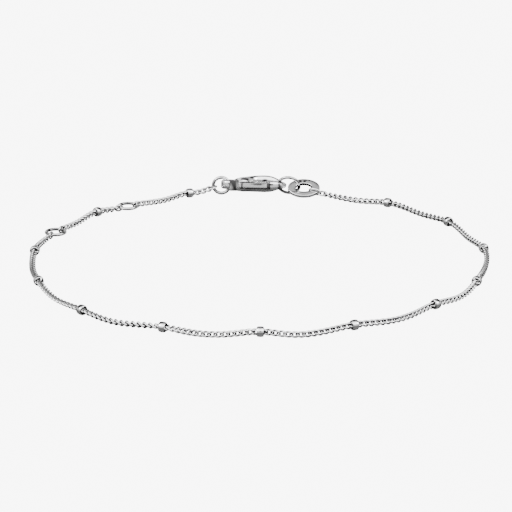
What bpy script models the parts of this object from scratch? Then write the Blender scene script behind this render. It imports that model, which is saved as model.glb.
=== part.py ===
"""A silver chain bracelet: a fine curb chain with round beads, two size rings, a claw clasp and an oval tag.

The closed bracelet lies on a flat surface, z = 0. All sizes below are in millimetres.
Each piece is worked out in millimetres and scaled to metres when its object is made.
"""

import math

import bmesh
import bpy
import numpy as np
from mathutils import Matrix, Vector

METRES_PER_MM = 0.001

# The laid-out loop is drawn round this point, which becomes x = 0, y = 0 of the model
LAYOUT_MIDDLE = Vector((0.45, -1.21, 0.0))

# Chain: one tube of the chain's outer size stands for each strand of curb links
CHAIN_DIAMETER = 0.80
CHAIN_POINT_GAP = 2.2
CHAIN_END_GAP = 0.06

# Beads: short round barrels drilled for the chain
BEAD_RADIUS = 0.66
BEAD_HALF_LENGTH = 0.43
BEAD_BORE = 0.47
BEAD_LIP = 0.08
BEAD_SHOULDER_OUT = 0.72
BEAD_SHOULDER_RADIUS = 0.93
BEAD_SIDES = 14

# Oval links that end each strand
LINK_WIRE = 0.25
LINK_HALF_LENGTH = 0.55
LINK_HALF_WIDTH = 0.39
LINK_SIDES = 6
LINK_STEPS = 12

# Round rings of wire
SIZE_RING_RADIUS = 1.24
SIZE_RING_WIRE = 0.42
CLASP_RING_RADIUS = 1.12
CLASP_RING_WIRE = 0.46
TAG_RING_RADIUS = 1.45
TAG_RING_WIRE = 0.42
RING_STEPS = 16
RING_SIDES = 6
HOOK_CLEARANCE = 0.05
LINK_LOOK_AHEAD = 1.1
RING_LOOK_AHEAD = 2.2

# Oval tag and the longer link through its hole
TAG_HALF_LENGTH = 2.2
TAG_HALF_HEIGHT = 1.65
TAG_HOLE_HALF_LENGTH = 1.1
TAG_HOLE_HALF_HEIGHT = 0.8
TAG_THICKNESS = 0.5
TAG_EDGE_ROUND = 0.08
TAG_STEPS = 28
TAG_LEAN = math.radians(27.3)
TAG_MIDDLE = Vector((6.55, 25.87, 1.11))
TAG_LINK_WIRE = 0.28
TAG_LINK_HALF_LENGTH = 0.80
TAG_LINK_HALF_WIDTH = 0.48
TAG_LINK_OUT = 1.66
TAG_LINK_TURN = math.radians(-22)

# Places of the upright clasp ring and of the leaning ring that joins clasp and tag
CLASP_RING_MIDDLE = Vector((-4.74, 26.45, 1.38))
TAG_RING_MIDDLE = Vector((4.48, 25.90, 1.57))
TAG_RING_LEAN = math.radians(-62.8)
TAG_RING_TURN = math.radians(-6)

# Claw clasp, in its own frame: +X from the eye to the round end, -Y the lever's side, Z its thickness
CLASP_MIDDLE = Vector((-0.2, 26.3, 1.52))
CLASP_ROLL = math.radians(-12)
CLASP_PITCH = math.radians(1.0)
EYE_MIDDLE = (-3.5, 0.0)
EYE_RADIUS = 1.1
EYE_HOLE_RADIUS = 0.54
EYE_THICKNESS = 1.25
EYE_EDGE_ROUND = 0.22
EYE_SIDES = 20
HOOK_SECTION_POINTS = 12
HOOK_SECTION_POWER = 0.75
HOOK_STATIONS = [
    # x, y, width, thickness of the hook along its middle line, from the eye to the nose
    (-2.9, 0.00, 1.50, 1.20),
    (-2.4, -0.05, 2.10, 1.70),
    (-1.8, 0.00, 2.40, 1.95),
    (-1.1, 0.50, 1.80, 2.05),
    (-0.3, 1.12, 1.20, 2.20),
    (0.7, 1.50, 1.04, 2.30),
    (1.8, 1.52, 1.00, 2.30),
    (2.8, 1.26, 0.92, 1.85),
    (3.60, 0.78, 0.72, 1.00),
    (4.06, 0.00, 0.62, 0.64),
    (3.86, -0.80, 0.64, 0.76),
    (3.2, -1.32, 0.72, 1.10),
    (2.6, -1.50, 0.74, 1.20),
    (2.0, -1.60, 0.56, 1.15),
]

# Lever of the clasp, which turns about the rivet
PIVOT = (-2.1, -0.70)
RIVET_RADIUS = 0.28
RIVET_HEIGHT = 1.72
RIVET_SIDES = 16
RIVET_CLEARANCE = 0.04
KNUCKLE_RADIUS = 0.62
KNUCKLE_THICKNESS = 0.96
LEVER_THICKNESS = 0.90
LEVER_EDGE_ROUND = 0.10
LEVER_SLOT = 1.04
LEVER_ARM = [
    # x, y round the arm, from its root beside the knuckle along the outer side to the tip and back
    (-2.62, -0.98),
    (-2.66, -1.60),
    (-2.00, -1.70),
    (-1.40, -1.76),
    (-0.60, -1.88),
    (0.40, -1.95),
    (1.20, -1.92),
    (1.70, -1.86),
    (1.70, -1.30),
    (2.22, -1.24),
    (2.20, -1.00),
    (1.20, -1.12),
    (0.20, -1.16),
    (-0.70, -1.06),
    (-1.56, -0.54),
    (-2.06, -0.42),
]
TAB_THICKNESS = 1.5
TAB_EDGE_ROUND = 0.08
TAB_OUTLINE = [
    # x, y round the thumb tab, which stands out beside the knuckle and leans back towards the eye
    (-2.08, -1.48),
    (-2.16, -1.80),
    (-2.60, -2.02),
    (-3.30, -2.08),
    (-3.42, -1.88),
    (-2.90, -1.74),
    (-2.58, -1.48),
]
SLOT_BOX = ((-2.84, -2.6), (-0.6, 0.02))

ROUTE = [
    # what lies there, x, y, height of the chain's middle
    ("clasp_ring", -5.82, 26.45, 1.10),
    ("chain", -6.8, 26.15, 0.82),
    ("chain", -7.9, 25.7, 0.62),
    ("bead", -9.1, 25.2, 0.66),
    ("chain", -12.1, 22.9, 0.45),
    ("chain", -15.4, 20.9, 0.50),
    ("size_ring", -17.3, 19.6, 0.54),
    ("chain", -19.4, 18.2, 0.52),
    ("bead", -21.2, 16.7, 0.66),
    ("chain", -23.6, 12.6, 0.45),
    ("chain", -25.3, 9.9, 0.50),
    ("size_ring", -26.2, 8.2, 0.56),
    ("chain", -27.2, 5.6, 0.50),
    ("bead", -28.3, 0.3, 0.66),
    ("chain", -28.3, -3.4, 0.49),
    ("chain", -27.9, -7.4, 0.49),
    ("bead", -26.9, -11.6, 0.66),
    ("chain", -24.2, -18.0, 0.45),
    ("bead", -20.9, -22.3, 0.66),
    ("chain", -16.9, -25.9, 0.45),
    ("bead", -11.0, -28.3, 0.66),
    ("chain", -7.4, -29.8, 0.49),
    ("chain", -3.4, -30.3, 0.49),
    ("bead", 0.5, -29.9, 0.66),
    ("chain", 4.0, -30.4, 0.49),
    ("chain", 8.0, -29.4, 0.49),
    ("bead", 11.6, -27.6, 0.66),
    ("chain", 15.8, -25.8, 0.49),
    ("chain", 19.0, -23.2, 0.49),
    ("bead", 21.7, -20.2, 0.66),
    ("chain", 24.4, -17.6, 0.45),
    ("bead", 27.3, -11.7, 0.66),
    ("chain", 28.9, -5.4, 0.45),
    ("bead", 29.2, 1.2, 0.66),
    ("chain", 27.7, 6.0, 0.45),
    ("bead", 25.4, 12.4, 0.66),
    ("chain", 22.1, 16.4, 0.45),
    ("bead", 17.8, 20.8, 0.66),
    ("chain", 14.6, 22.2, 0.45),
    ("chain", 11.4, 23.8, 0.48),
    ("chain", 9.9, 24.6, 0.57),
    ("tag_link", 8.83, 25.05, 0.69),
]


def clear_scene():
    for obj in list(bpy.data.objects):
        bpy.data.objects.remove(obj)


def silver(name, roughness):
    """One polished silver for one kind of piece."""
    material = bpy.data.materials.new(name)
    material.use_nodes = True
    shader = material.node_tree.nodes["Principled BSDF"]
    shader.inputs["Base Color"].default_value = (0.86, 0.86, 0.87, 1.0)
    shader.inputs["Metallic"].default_value = 1.0
    shader.inputs["Roughness"].default_value = roughness
    return material


def add_object(name, bm, material, place=Matrix.Identity(4)):
    """Makes an object of a mesh in millimetres; place turns and moves it within the layout."""
    bmesh.ops.recalc_face_normals(bm, faces=bm.faces)
    bmesh.ops.transform(bm, matrix=Matrix.Scale(METRES_PER_MM, 4), verts=bm.verts)
    mesh = bpy.data.meshes.new(name)
    bm.to_mesh(mesh)
    bm.free()
    mesh.materials.append(material)
    mesh.shade_smooth()
    mesh.set_sharp_from_angle(angle=math.radians(40))
    obj = bpy.data.objects.new(name, mesh)
    offset = (place.translation - LAYOUT_MIDDLE) * METRES_PER_MM
    obj.matrix_world = Matrix.Translation(offset) @ place.to_3x3().to_4x4()
    bpy.context.scene.collection.objects.link(obj)
    return obj


def use_as_tool(obj, tool, operation):
    """Joins or cuts obj with tool, which is itself left out of the finished model."""
    tool.hide_render = True
    tool.display_type = "WIRE"
    modifier = obj.modifiers.new(tool.name, "BOOLEAN")
    modifier.operation = operation
    modifier.object = tool


def ring_of_edges(bm, points):
    corners = [bm.verts.new(point) for point in points]
    return [bm.edges.new((corners[i - 1], corners[i])) for i in range(len(corners))]


def bridged(sections, closed):
    """A skin through a row of equal sections, with flat ends where it isn't closed."""
    bm = bmesh.new()
    rings = [ring_of_edges(bm, section) for section in sections]
    pairs = list(zip(rings, rings[1:]))
    if closed:
        pairs.append((rings[-1], rings[0]))
    for first, second in pairs:
        bmesh.ops.bridge_loops(bm, edges=first + second)
    if not closed:
        for ring in (rings[0], rings[-1]):
            bmesh.ops.contextual_create(bm, geom=ring)
    return bm


def wire_loop(half_length, half_width, wire, steps, sides):
    """A closed ring or oval link of round wire, flat in XY, its half sizes taken to the wire's middle."""
    sections = []
    for step in range(steps):
        turn = math.tau * step / steps
        middle = Vector((half_length * math.cos(turn), half_width * math.sin(turn), 0.0))
        outward = Vector((half_width * math.cos(turn), half_length * math.sin(turn), 0.0)).normalized()
        section = []
        for side in range(sides):
            around = math.tau * (side + 0.5) / sides
            across = outward * math.cos(around) + Vector((0, 0, 1)) * math.sin(around)
            section.append(middle + across * wire / 2)
        sections.append(section)
    return bridged(sections, closed=True)


def prism(outline, thickness, edge_round=0.0):
    """An outline in XY raised to a thickness about z = 0, with its long edges rounded."""
    bm = bmesh.new()
    base = bm.faces.new([bm.verts.new((x, y, -thickness / 2)) for x, y in outline])
    raised = bmesh.ops.extrude_face_region(bm, geom=[base])
    top = [item for item in raised["geom"] if isinstance(item, bmesh.types.BMVert)]
    bmesh.ops.translate(bm, verts=top, vec=(0, 0, thickness))
    if edge_round:
        rims = [edge for edge in bm.edges if abs(edge.verts[0].co.z - edge.verts[1].co.z) < thickness / 2]
        bmesh.ops.bevel(
            bm, geom=rims, offset=edge_round, segments=2, profile=0.5, affect="EDGES", material=-1
        )
    return bm


def circle_outline(middle, radius, sides):
    return [
        (
            middle[0] + radius * math.cos(math.tau * side / sides),
            middle[1] + radius * math.sin(math.tau * side / sides),
        )
        for side in range(sides)
    ]


def smooth_route(points, spacing=0.05):
    """Closely spaced places on the natural cubic curve through the points."""
    points = np.array(points, dtype=float)
    gaps = np.linalg.norm(np.diff(points, axis=0), axis=1)
    knots = np.concatenate([[0.0], np.cumsum(gaps)])
    count = len(points)
    system = np.zeros((count, count))
    slopes = np.zeros_like(points)
    system[0, 0] = system[-1, -1] = 1.0
    for i in range(1, count - 1):
        system[i, i - 1 : i + 2] = gaps[i - 1], 2 * (gaps[i - 1] + gaps[i]), gaps[i]
        slopes[i] = 6 * ((points[i + 1] - points[i]) / gaps[i] - (points[i] - points[i - 1]) / gaps[i - 1])
    bends = np.linalg.solve(system, slopes)
    travel = np.arange(0.0, knots[-1], spacing)
    piece = np.clip(np.searchsorted(knots, travel, side="right") - 1, 0, count - 2)
    gap = gaps[piece][:, None]
    after = (travel - knots[piece])[:, None]
    before = gap - after
    curve = (bends[piece] * before**3 + bends[piece + 1] * after**3) / (6 * gap)
    curve += (points[piece] / gap - bends[piece] * gap / 6) * before
    curve += (points[piece + 1] / gap - bends[piece + 1] * gap / 6) * after
    return curve


class ChainRoute:
    """The chain's middle line, read by the length travelled along it."""

    def __init__(self, table):
        self.places = smooth_route([row[1:] for row in table])
        steps = np.linalg.norm(np.diff(self.places, axis=0), axis=1)
        self.travelled = np.concatenate([[0.0], np.cumsum(steps)])
        self.stops = [(row[0], self.nearest(row[1:])) for row in table]

    def nearest(self, point):
        return float(self.travelled[np.argmin(np.linalg.norm(self.places - np.array(point), axis=1))])

    def at(self, travel):
        return Vector([np.interp(travel, self.travelled, self.places[:, axis]) for axis in range(3)])

    def heading(self, travel):
        return (self.at(travel + 0.1) - self.at(travel - 0.1)).normalized()

    def stops_of(self, what):
        return [travel for name, travel in self.stops if name == what]


def along(place, heading, up):
    """A placing matrix whose X follows heading and whose Z is as near to up as it can be."""
    heading = heading.normalized()
    side = up.cross(heading).normalized()
    matrix = Matrix((heading, side, heading.cross(side))).transposed().to_4x4()
    matrix.translation = place
    return matrix


def make_chain(name, route, start, end, material):
    """One strand as a round tube, with a point every few diameters."""
    count = max(3, math.ceil((end - start) / CHAIN_POINT_GAP) + 1)
    curve = bpy.data.curves.new(name, "CURVE")
    curve.dimensions = "3D"
    curve.bevel_depth = CHAIN_DIAMETER / 2 * METRES_PER_MM
    curve.bevel_resolution = 2
    curve.use_fill_caps = True
    spline = curve.splines.new("POLY")
    spline.points.add(count - 1)
    for point, travel in zip(spline.points, np.linspace(start, end, count)):
        point.co = (*((route.at(travel) - LAYOUT_MIDDLE) * METRES_PER_MM), 1.0)
    curve.materials.append(material)
    obj = bpy.data.objects.new(name, curve)
    bpy.context.scene.collection.objects.link(obj)


def make_bead(name, route, travel, material):
    """A barrel round the chain: its drilled profile is spun about the chain's line."""
    half, outer, bore, lip = BEAD_HALF_LENGTH, BEAD_RADIUS, BEAD_BORE, BEAD_LIP
    profile = [
        (-half + lip, bore),
        (-half, bore + lip),
        (-half * BEAD_SHOULDER_OUT, outer * BEAD_SHOULDER_RADIUS),
        (0.0, outer),
        (half * BEAD_SHOULDER_OUT, outer * BEAD_SHOULDER_RADIUS),
        (half, bore + lip),
        (half - lip, bore),
    ]
    bm = bmesh.new()
    edges = ring_of_edges(bm, [(x, 0.0, radius) for x, radius in profile])
    bmesh.ops.spin(
        bm, geom=edges, cent=(0, 0, 0), axis=(1, 0, 0), angle=math.tau, steps=BEAD_SIDES, use_merge=True
    )
    bmesh.ops.remove_doubles(bm, verts=bm.verts, dist=0.001)
    place = along(route.at(travel), route.heading(travel), Vector((0, 0, 1)))
    add_object(name, bm, material, place)


def make_end_link(name, place, material):
    bm = wire_loop(LINK_HALF_LENGTH, LINK_HALF_WIDTH, LINK_WIRE, LINK_STEPS, LINK_SIDES)
    add_object(name, bm, material, place)


def hooked_link(wire_middle, wire, route, travel, look, up):
    """The place of an end link that hangs on a wire and points along the route, look of it ahead."""
    direction = (route.at(travel + look) - wire_middle).normalized()
    reach = LINK_HALF_LENGTH - LINK_WIRE / 2 - wire / 2 - HOOK_CLEARANCE
    return along(wire_middle + direction * reach, direction, up)


def link_far_end(place):
    """Where a tube can begin: just past the outer end of the link."""
    return place.translation + place.col[0].to_3d() * (LINK_HALF_LENGTH + LINK_WIRE / 2 + CHAIN_END_GAP)


def clasp_place():
    turn = Matrix.Rotation(CLASP_PITCH, 3, "Y") @ Matrix.Rotation(CLASP_ROLL, 3, "X")
    return Matrix.Translation(CLASP_MIDDLE) @ turn.to_4x4()


def hook_section(station, heading):
    """A rounded oblong across the hook: flat-topped, so that it reads as cast metal."""
    x, y, width, thickness = station
    across = Vector((-heading.y, heading.x, 0.0))
    section = []
    for corner in range(HOOK_SECTION_POINTS):
        turn = math.tau * (corner + 0.5) / HOOK_SECTION_POINTS
        side = math.copysign(abs(math.cos(turn)) ** HOOK_SECTION_POWER, math.cos(turn))
        rise = math.copysign(abs(math.sin(turn)) ** HOOK_SECTION_POWER, math.sin(turn))
        section.append(Vector((x, y, thickness / 2 * rise)) + across * width / 2 * side)
    return section


def make_clasp_body(material):
    """The cast body: an eye, a forked root that holds the lever, and a hook that ends in the nose."""
    middles = [Vector((x, y, 0.0)) for x, y, width, thickness in HOOK_STATIONS]
    sections = []
    for i, station in enumerate(HOOK_STATIONS):
        heading = middles[min(i + 1, len(middles) - 1)] - middles[max(i - 1, 0)]
        sections.append(hook_section(station, heading.normalized()))
    place = clasp_place()
    body = add_object("clasp_body", bridged(sections, closed=False), material, place)

    eye = prism(circle_outline(EYE_MIDDLE, EYE_RADIUS, EYE_SIDES), EYE_THICKNESS, EYE_EDGE_ROUND)
    use_as_tool(body, add_object("guide_eye", eye, material, place), "UNION")
    cut_height = EYE_THICKNESS * 3
    hole = prism(circle_outline(EYE_MIDDLE, EYE_HOLE_RADIUS, RIVET_SIDES), cut_height)
    use_as_tool(body, add_object("cut_eye_hole", hole, material, place), "DIFFERENCE")
    (left, near), (right, far) = SLOT_BOX
    slot = prism([(left, near), (right, near), (right, far), (left, far)], LEVER_SLOT)
    use_as_tool(body, add_object("cut_lever_slot", slot, material, place), "DIFFERENCE")
    bore = prism(circle_outline(PIVOT, RIVET_RADIUS + RIVET_CLEARANCE, RIVET_SIDES), cut_height)
    use_as_tool(body, add_object("cut_rivet_hole", bore, material, place), "DIFFERENCE")


def make_clasp_lever(material):
    """The lever: a drilled knuckle on the rivet, an arm to the nose and a thumb tab."""
    place = clasp_place() @ Matrix.Translation((*PIVOT, 0.0))

    def about_pivot(outline):
        return [(x - PIVOT[0], y - PIVOT[1]) for x, y in outline]

    arm = prism(about_pivot(LEVER_ARM), LEVER_THICKNESS, LEVER_EDGE_ROUND)
    lever = add_object("clasp_lever", arm, material, place)
    knuckle = prism(circle_outline((0, 0), KNUCKLE_RADIUS, RIVET_SIDES), KNUCKLE_THICKNESS)
    use_as_tool(lever, add_object("guide_knuckle", knuckle, material, place), "UNION")
    tab = prism(about_pivot(TAB_OUTLINE), TAB_THICKNESS, TAB_EDGE_ROUND)
    use_as_tool(lever, add_object("guide_tab", tab, material, place), "UNION")
    bore = prism(circle_outline((0, 0), RIVET_RADIUS + RIVET_CLEARANCE, RIVET_SIDES), TAB_THICKNESS * 2)
    use_as_tool(lever, add_object("cut_lever_bore", bore, material, place), "DIFFERENCE")


def make_rivet(material):
    pin = prism(circle_outline((0, 0), RIVET_RADIUS, RIVET_SIDES), RIVET_HEIGHT, LEVER_EDGE_ROUND / 2)
    add_object("clasp_rivet", pin, material, clasp_place() @ Matrix.Translation((*PIVOT, 0.0)))


def oval_outline(half_length, half_height, steps):
    turns = [math.tau * step / steps for step in range(steps)]
    return [(half_length * math.cos(turn), half_height * math.sin(turn)) for turn in turns]


def tag_frame():
    return Matrix.Translation(TAG_MIDDLE) @ Matrix.Rotation(TAG_LEAN, 4, "X")


def make_tag(material):
    """The oval plate with its oval hole."""
    outline = oval_outline(TAG_HALF_LENGTH, TAG_HALF_HEIGHT, TAG_STEPS)
    plate = prism(outline, TAG_THICKNESS, TAG_EDGE_ROUND)
    tag = add_object("oval_tag", plate, material, tag_frame())
    opening = oval_outline(TAG_HOLE_HALF_LENGTH, TAG_HOLE_HALF_HEIGHT, TAG_STEPS)
    hole = prism(opening, TAG_THICKNESS * 3)
    use_as_tool(tag, add_object("cut_tag_hole", hole, material, tag_frame()), "DIFFERENCE")


def tag_link_place():
    """The longer link lies across the tag's rim, with one end in the hole."""
    outward = Vector((math.cos(TAG_LINK_TURN), math.sin(TAG_LINK_TURN), 0.0))
    frame = tag_frame()
    direction = frame.to_3x3() @ outward
    normal = frame.to_3x3() @ Vector((0, 0, 1))
    return along(frame @ (outward * TAG_LINK_OUT), direction, normal.cross(direction))


def make_tag_link(material):
    bm = wire_loop(TAG_LINK_HALF_LENGTH, TAG_LINK_HALF_WIDTH, TAG_LINK_WIRE, LINK_STEPS, LINK_SIDES)
    add_object("tag_link", bm, material, tag_link_place())


def make_rings(route, material):
    ring = wire_loop(CLASP_RING_RADIUS, CLASP_RING_RADIUS, CLASP_RING_WIRE, RING_STEPS, RING_SIDES)
    upright = Matrix.Translation(CLASP_RING_MIDDLE) @ Matrix.Rotation(math.radians(90), 4, "X")
    add_object("clasp_ring", ring, material, upright)

    ring = wire_loop(TAG_RING_RADIUS, TAG_RING_RADIUS, TAG_RING_WIRE, RING_STEPS, RING_SIDES)
    leaning = Matrix.Rotation(TAG_RING_TURN, 4, "Z") @ Matrix.Rotation(TAG_RING_LEAN, 4, "X")
    add_object("tag_ring", ring, material, Matrix.Translation(TAG_RING_MIDDLE) @ leaning)

    for number, travel in enumerate(route.stops_of("size_ring"), start=1):
        ring = wire_loop(SIZE_RING_RADIUS, SIZE_RING_RADIUS, SIZE_RING_WIRE, RING_STEPS, RING_SIDES)
        place = along(route.at(travel), route.heading(travel), Vector((0, 0, 1)))
        add_object(f"size_ring_{number}", ring, material, place)


def strand_ends(route):
    """For each strand: the places of the end links that it starts and ends with."""
    up = Vector((0, 0, 1))
    ends = []
    start = hooked_link(route.at(0.0), CLASP_RING_WIRE, route, 0.0, LINK_LOOK_AHEAD, up)
    for stop in route.stops_of("size_ring"):
        links = []
        for look in (-RING_LOOK_AHEAD, RING_LOOK_AHEAD):
            outward = (route.at(stop + look) - route.at(stop)).normalized()
            wire_middle = route.at(stop) + outward * SIZE_RING_RADIUS
            links.append(hooked_link(wire_middle, SIZE_RING_WIRE, route, stop, look, up.cross(outward)))
        ends.append((start, links[0]))
        start = links[1]

    tag_link = tag_link_place()
    wire_middle = tag_link @ Vector((TAG_LINK_HALF_LENGTH, 0, 0))
    last = route.travelled[-1]
    across = tag_link.col[1].to_3d()
    ends.append((start, hooked_link(wire_middle, TAG_LINK_WIRE, route, last, -LINK_LOOK_AHEAD, across)))
    return ends


def main():
    clear_scene()
    route = ChainRoute(ROUTE)
    chain_silver = silver("chain_silver", 0.18)
    bead_silver = silver("bead_silver", 0.12)
    ring_silver = silver("ring_silver", 0.14)
    clasp_silver = silver("clasp_silver", 0.12)
    tag_silver = silver("tag_silver", 0.16)

    link_number = 0
    for number, (first, last) in enumerate(strand_ends(route), start=1):
        for place in (first, last):
            link_number += 1
            make_end_link(f"end_link_{link_number}", place, chain_silver)
        start = route.nearest(link_far_end(first))
        end = route.nearest(link_far_end(last))
        make_chain(f"chain_{number}", route, start, end, chain_silver)

    for number, travel in enumerate(route.stops_of("bead"), start=1):
        make_bead(f"bead_{number:02d}", route, travel, bead_silver)

    make_rings(route, ring_silver)
    make_clasp_body(clasp_silver)
    make_clasp_lever(clasp_silver)
    make_rivet(clasp_silver)
    make_tag(tag_silver)
    make_tag_link(ring_silver)


main()
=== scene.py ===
# %% [markdown]
# # A silver chain bracelet on a white surface
# The real object is one closed loop of fine curb chain with small drilled beads, two flat
# rings that make its length adjustable, a claw clasp and an open oval tag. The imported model
# gives every place and size. This lesson makes the surfaces that the eye sees: smooth rings,
# a cast clasp and about two hundred curb links that pass through each other.

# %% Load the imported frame
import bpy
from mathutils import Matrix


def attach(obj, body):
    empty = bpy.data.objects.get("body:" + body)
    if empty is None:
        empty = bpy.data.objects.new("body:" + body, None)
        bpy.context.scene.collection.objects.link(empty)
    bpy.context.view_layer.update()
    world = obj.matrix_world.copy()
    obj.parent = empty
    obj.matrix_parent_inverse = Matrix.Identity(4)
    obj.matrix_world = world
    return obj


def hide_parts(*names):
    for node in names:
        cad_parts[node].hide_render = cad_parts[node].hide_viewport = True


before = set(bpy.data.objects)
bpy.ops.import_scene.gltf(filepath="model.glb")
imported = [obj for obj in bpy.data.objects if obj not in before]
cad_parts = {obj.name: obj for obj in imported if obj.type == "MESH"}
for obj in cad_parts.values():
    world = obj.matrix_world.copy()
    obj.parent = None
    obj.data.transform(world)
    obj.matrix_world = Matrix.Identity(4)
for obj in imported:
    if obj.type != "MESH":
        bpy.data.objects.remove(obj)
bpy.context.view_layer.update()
print("nodes in the frame:", len(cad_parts))

# %% The modules that the lesson uses
import math

import bmesh
import bpy
import numpy as np
from mathutils import Matrix, Vector

MM = 0.001
UP = Vector((0, 0, 1))
print("one millimetre is", MM, "Blender units")

# %% [markdown]
# ## The camera
# The photograph looks down on the loop from a low angle with a long lens, so the far side is
# only a little smaller than the near side. The camera could be placed by eye, but a place
# worked out from an angle and a distance can be checked against the picture. Every place in
# this lesson is given in a layout whose zero is the point that the camera looks at. The
# model's own zero is the middle of its box, which lies at LAYOUT_MIDDLE in the layout.

# %% Camera at the photograph's angle
LAYOUT_MIDDLE = Vector((0.45, -1.21, 0.0))
CAMERA_ELEVATION = math.radians(18.5)
CAMERA_DISTANCE = 340
LENS = 186.9

camera_data = bpy.data.cameras.new("camera")
camera_data.lens = LENS
camera_data.sensor_width = 36
camera_data.clip_start = 0.01
camera = bpy.data.objects.new("camera", camera_data)
toward_camera = Vector((0, -math.cos(CAMERA_ELEVATION), math.sin(CAMERA_ELEVATION)))
camera.location = (toward_camera * CAMERA_DISTANCE - LAYOUT_MIDDLE) * MM
camera.rotation_euler = (math.pi / 2 - CAMERA_ELEVATION, 0, 0)
bpy.context.scene.collection.objects.link(camera)
bpy.context.scene.camera = camera
print("camera height in mm:", round(camera.location.z / MM, 1))

# %% [markdown]
# ## The studio
# Polished silver has hardly a colour of its own: it shows what stands round it. A jeweller's
# photographer hangs large white sheets above and in front of the piece and leaves dark gaps
# behind it, which draw the dark lines on the metal. A plain white world would be simpler, but
# then the silver has no lines at all. So the world is a dome: a white sheet high in front, a
# dim room behind that is nearly black halfway up, and a small dark patch where the camera
# stands. The floor looks plain white to the camera and darker to the metal.

# %% Floor
FLOOR_HALF = 1.5
bm = bmesh.new()
bmesh.ops.create_grid(bm, x_segments=1, y_segments=1, size=FLOOR_HALF)
floor_mesh = bpy.data.meshes.new("floor")
bm.to_mesh(floor_mesh)
bm.free()
floor = bpy.data.objects.new("floor", floor_mesh)
bpy.context.scene.collection.objects.link(floor)
print("floor is", 2 * FLOOR_HALF, "m wide")

# %% White to the camera, darker to the metal
FLOOR_GREY = 0.09
FLOOR_GLOW = 8.0
floor_material = bpy.data.materials.new("white_floor")
floor_material.use_nodes = True
floor_nodes = floor_material.node_tree.nodes
floor_shader = floor_nodes["Principled BSDF"]
floor_shader.inputs["Base Color"].default_value = (FLOOR_GREY, FLOOR_GREY, FLOOR_GREY, 1)
floor_shader.inputs["Roughness"].default_value = 0.9
floor_shader.inputs["Specular IOR Level"].default_value = 0.0
floor_shader.inputs["Emission Color"].default_value = (1, 1, 1, 1)
ray = floor_nodes.new("ShaderNodeLightPath")
glow = floor_nodes.new("ShaderNodeMath")
glow.operation = "MULTIPLY"
glow.inputs[1].default_value = FLOOR_GLOW
floor_material.node_tree.links.new(ray.outputs["Is Camera Ray"], glow.inputs[0])
floor_material.node_tree.links.new(glow.outputs[0], floor_shader.inputs["Emission Strength"])
floor_mesh.materials.append(floor_material)
print("the floor's own grey is", FLOOR_GREY)

# %% Soft white dome, dark behind the piece
DOME_BRIGHTNESS = 4.6
FRONT_STOPS = [
    # height of the direction (0 at the horizon, 1 overhead), share of the brightness
    (0.00, 0.20),
    (0.40, 0.25),
    (0.55, 1.00),
    (0.92, 1.00),
    (0.97, 0.50),
    (1.00, 0.08),
]
BACK_STOPS = [
    (0.00, 0.20),
    (0.34, 0.17),
    (0.48, 0.01),
    (0.91, 0.01),
    (0.945, 0.16),
    (0.97, 0.16),
    (1.00, 0.08),
]
print("dome stops:", len(FRONT_STOPS) + len(BACK_STOPS))

# %% Nodes that read the dome by its height
world = bpy.data.worlds.new("studio")
world.use_nodes = True
bpy.context.scene.world = world
world_nodes = world.node_tree.nodes
dome_link = world.node_tree.links.new
coordinates = world_nodes.new("ShaderNodeTexCoord")
split = world_nodes.new("ShaderNodeSeparateXYZ")
dome_link(coordinates.outputs["Generated"], split.inputs[0])


def height_ramp(stops):
    """A ramp over the height of the direction."""
    ramp = world_nodes.new("ShaderNodeValToRGB")
    while len(ramp.color_ramp.elements) < len(stops):
        ramp.color_ramp.elements.new(1.0)
    for element, (height, brightness) in zip(ramp.color_ramp.elements, stops):
        element.position = height
        element.color = (brightness, brightness, brightness, 1)
    dome_link(split.outputs["Z"], ramp.inputs["Fac"])
    return ramp.outputs["Color"]


def soft_step(value, low, high, at_low, at_high):
    """A number that goes from one value to another as the input goes from low to high."""
    step = world_nodes.new("ShaderNodeMapRange")
    step.inputs["From Min"].default_value = low
    step.inputs["From Max"].default_value = high
    step.inputs["To Min"].default_value = at_low
    step.inputs["To Max"].default_value = at_high
    dome_link(value, step.inputs["Value"])
    return step.outputs["Result"]


print("world nodes so far:", len(world_nodes))

# %% Join the front and the back of the dome
BACK_EDGES = (-0.1, 0.2)
front_and_back = world_nodes.new("ShaderNodeMix")
front_and_back.data_type = "RGBA"
dome_link(soft_step(split.outputs["Y"], *BACK_EDGES, 0, 1), front_and_back.inputs["Factor"])
dome_link(height_ramp(FRONT_STOPS), front_and_back.inputs["A"])
dome_link(height_ramp(BACK_STOPS), front_and_back.inputs["B"])
dome_link(front_and_back.outputs["Result"], world_nodes["Background"].inputs["Color"])
print("the dome goes from front to back between y", *BACK_EDGES)

# %% The dark camera in the dome
CARD_ELEVATION = math.radians(22.5)
# degrees from the card's middle: where it begins and where it is full
CARD_ANGLES = (15, 10)
CARD_EDGES = [math.cos(math.radians(angle)) for angle in CARD_ANGLES]
CARD_BRIGHTNESS = 0.02
near_camera = world_nodes.new("ShaderNodeVectorMath")
near_camera.operation = "DOT_PRODUCT"
near_camera.inputs[1].default_value = (0, -math.cos(CARD_ELEVATION), math.sin(CARD_ELEVATION))
dome_link(coordinates.outputs["Generated"], near_camera.inputs[0])
strength = soft_step(near_camera.outputs["Value"], *CARD_EDGES, DOME_BRIGHTNESS, CARD_BRIGHTNESS)
dome_link(strength, world_nodes["Background"].inputs["Strength"])
print("the dark card begins", CARD_ANGLES[0], "degrees from its middle")

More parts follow.
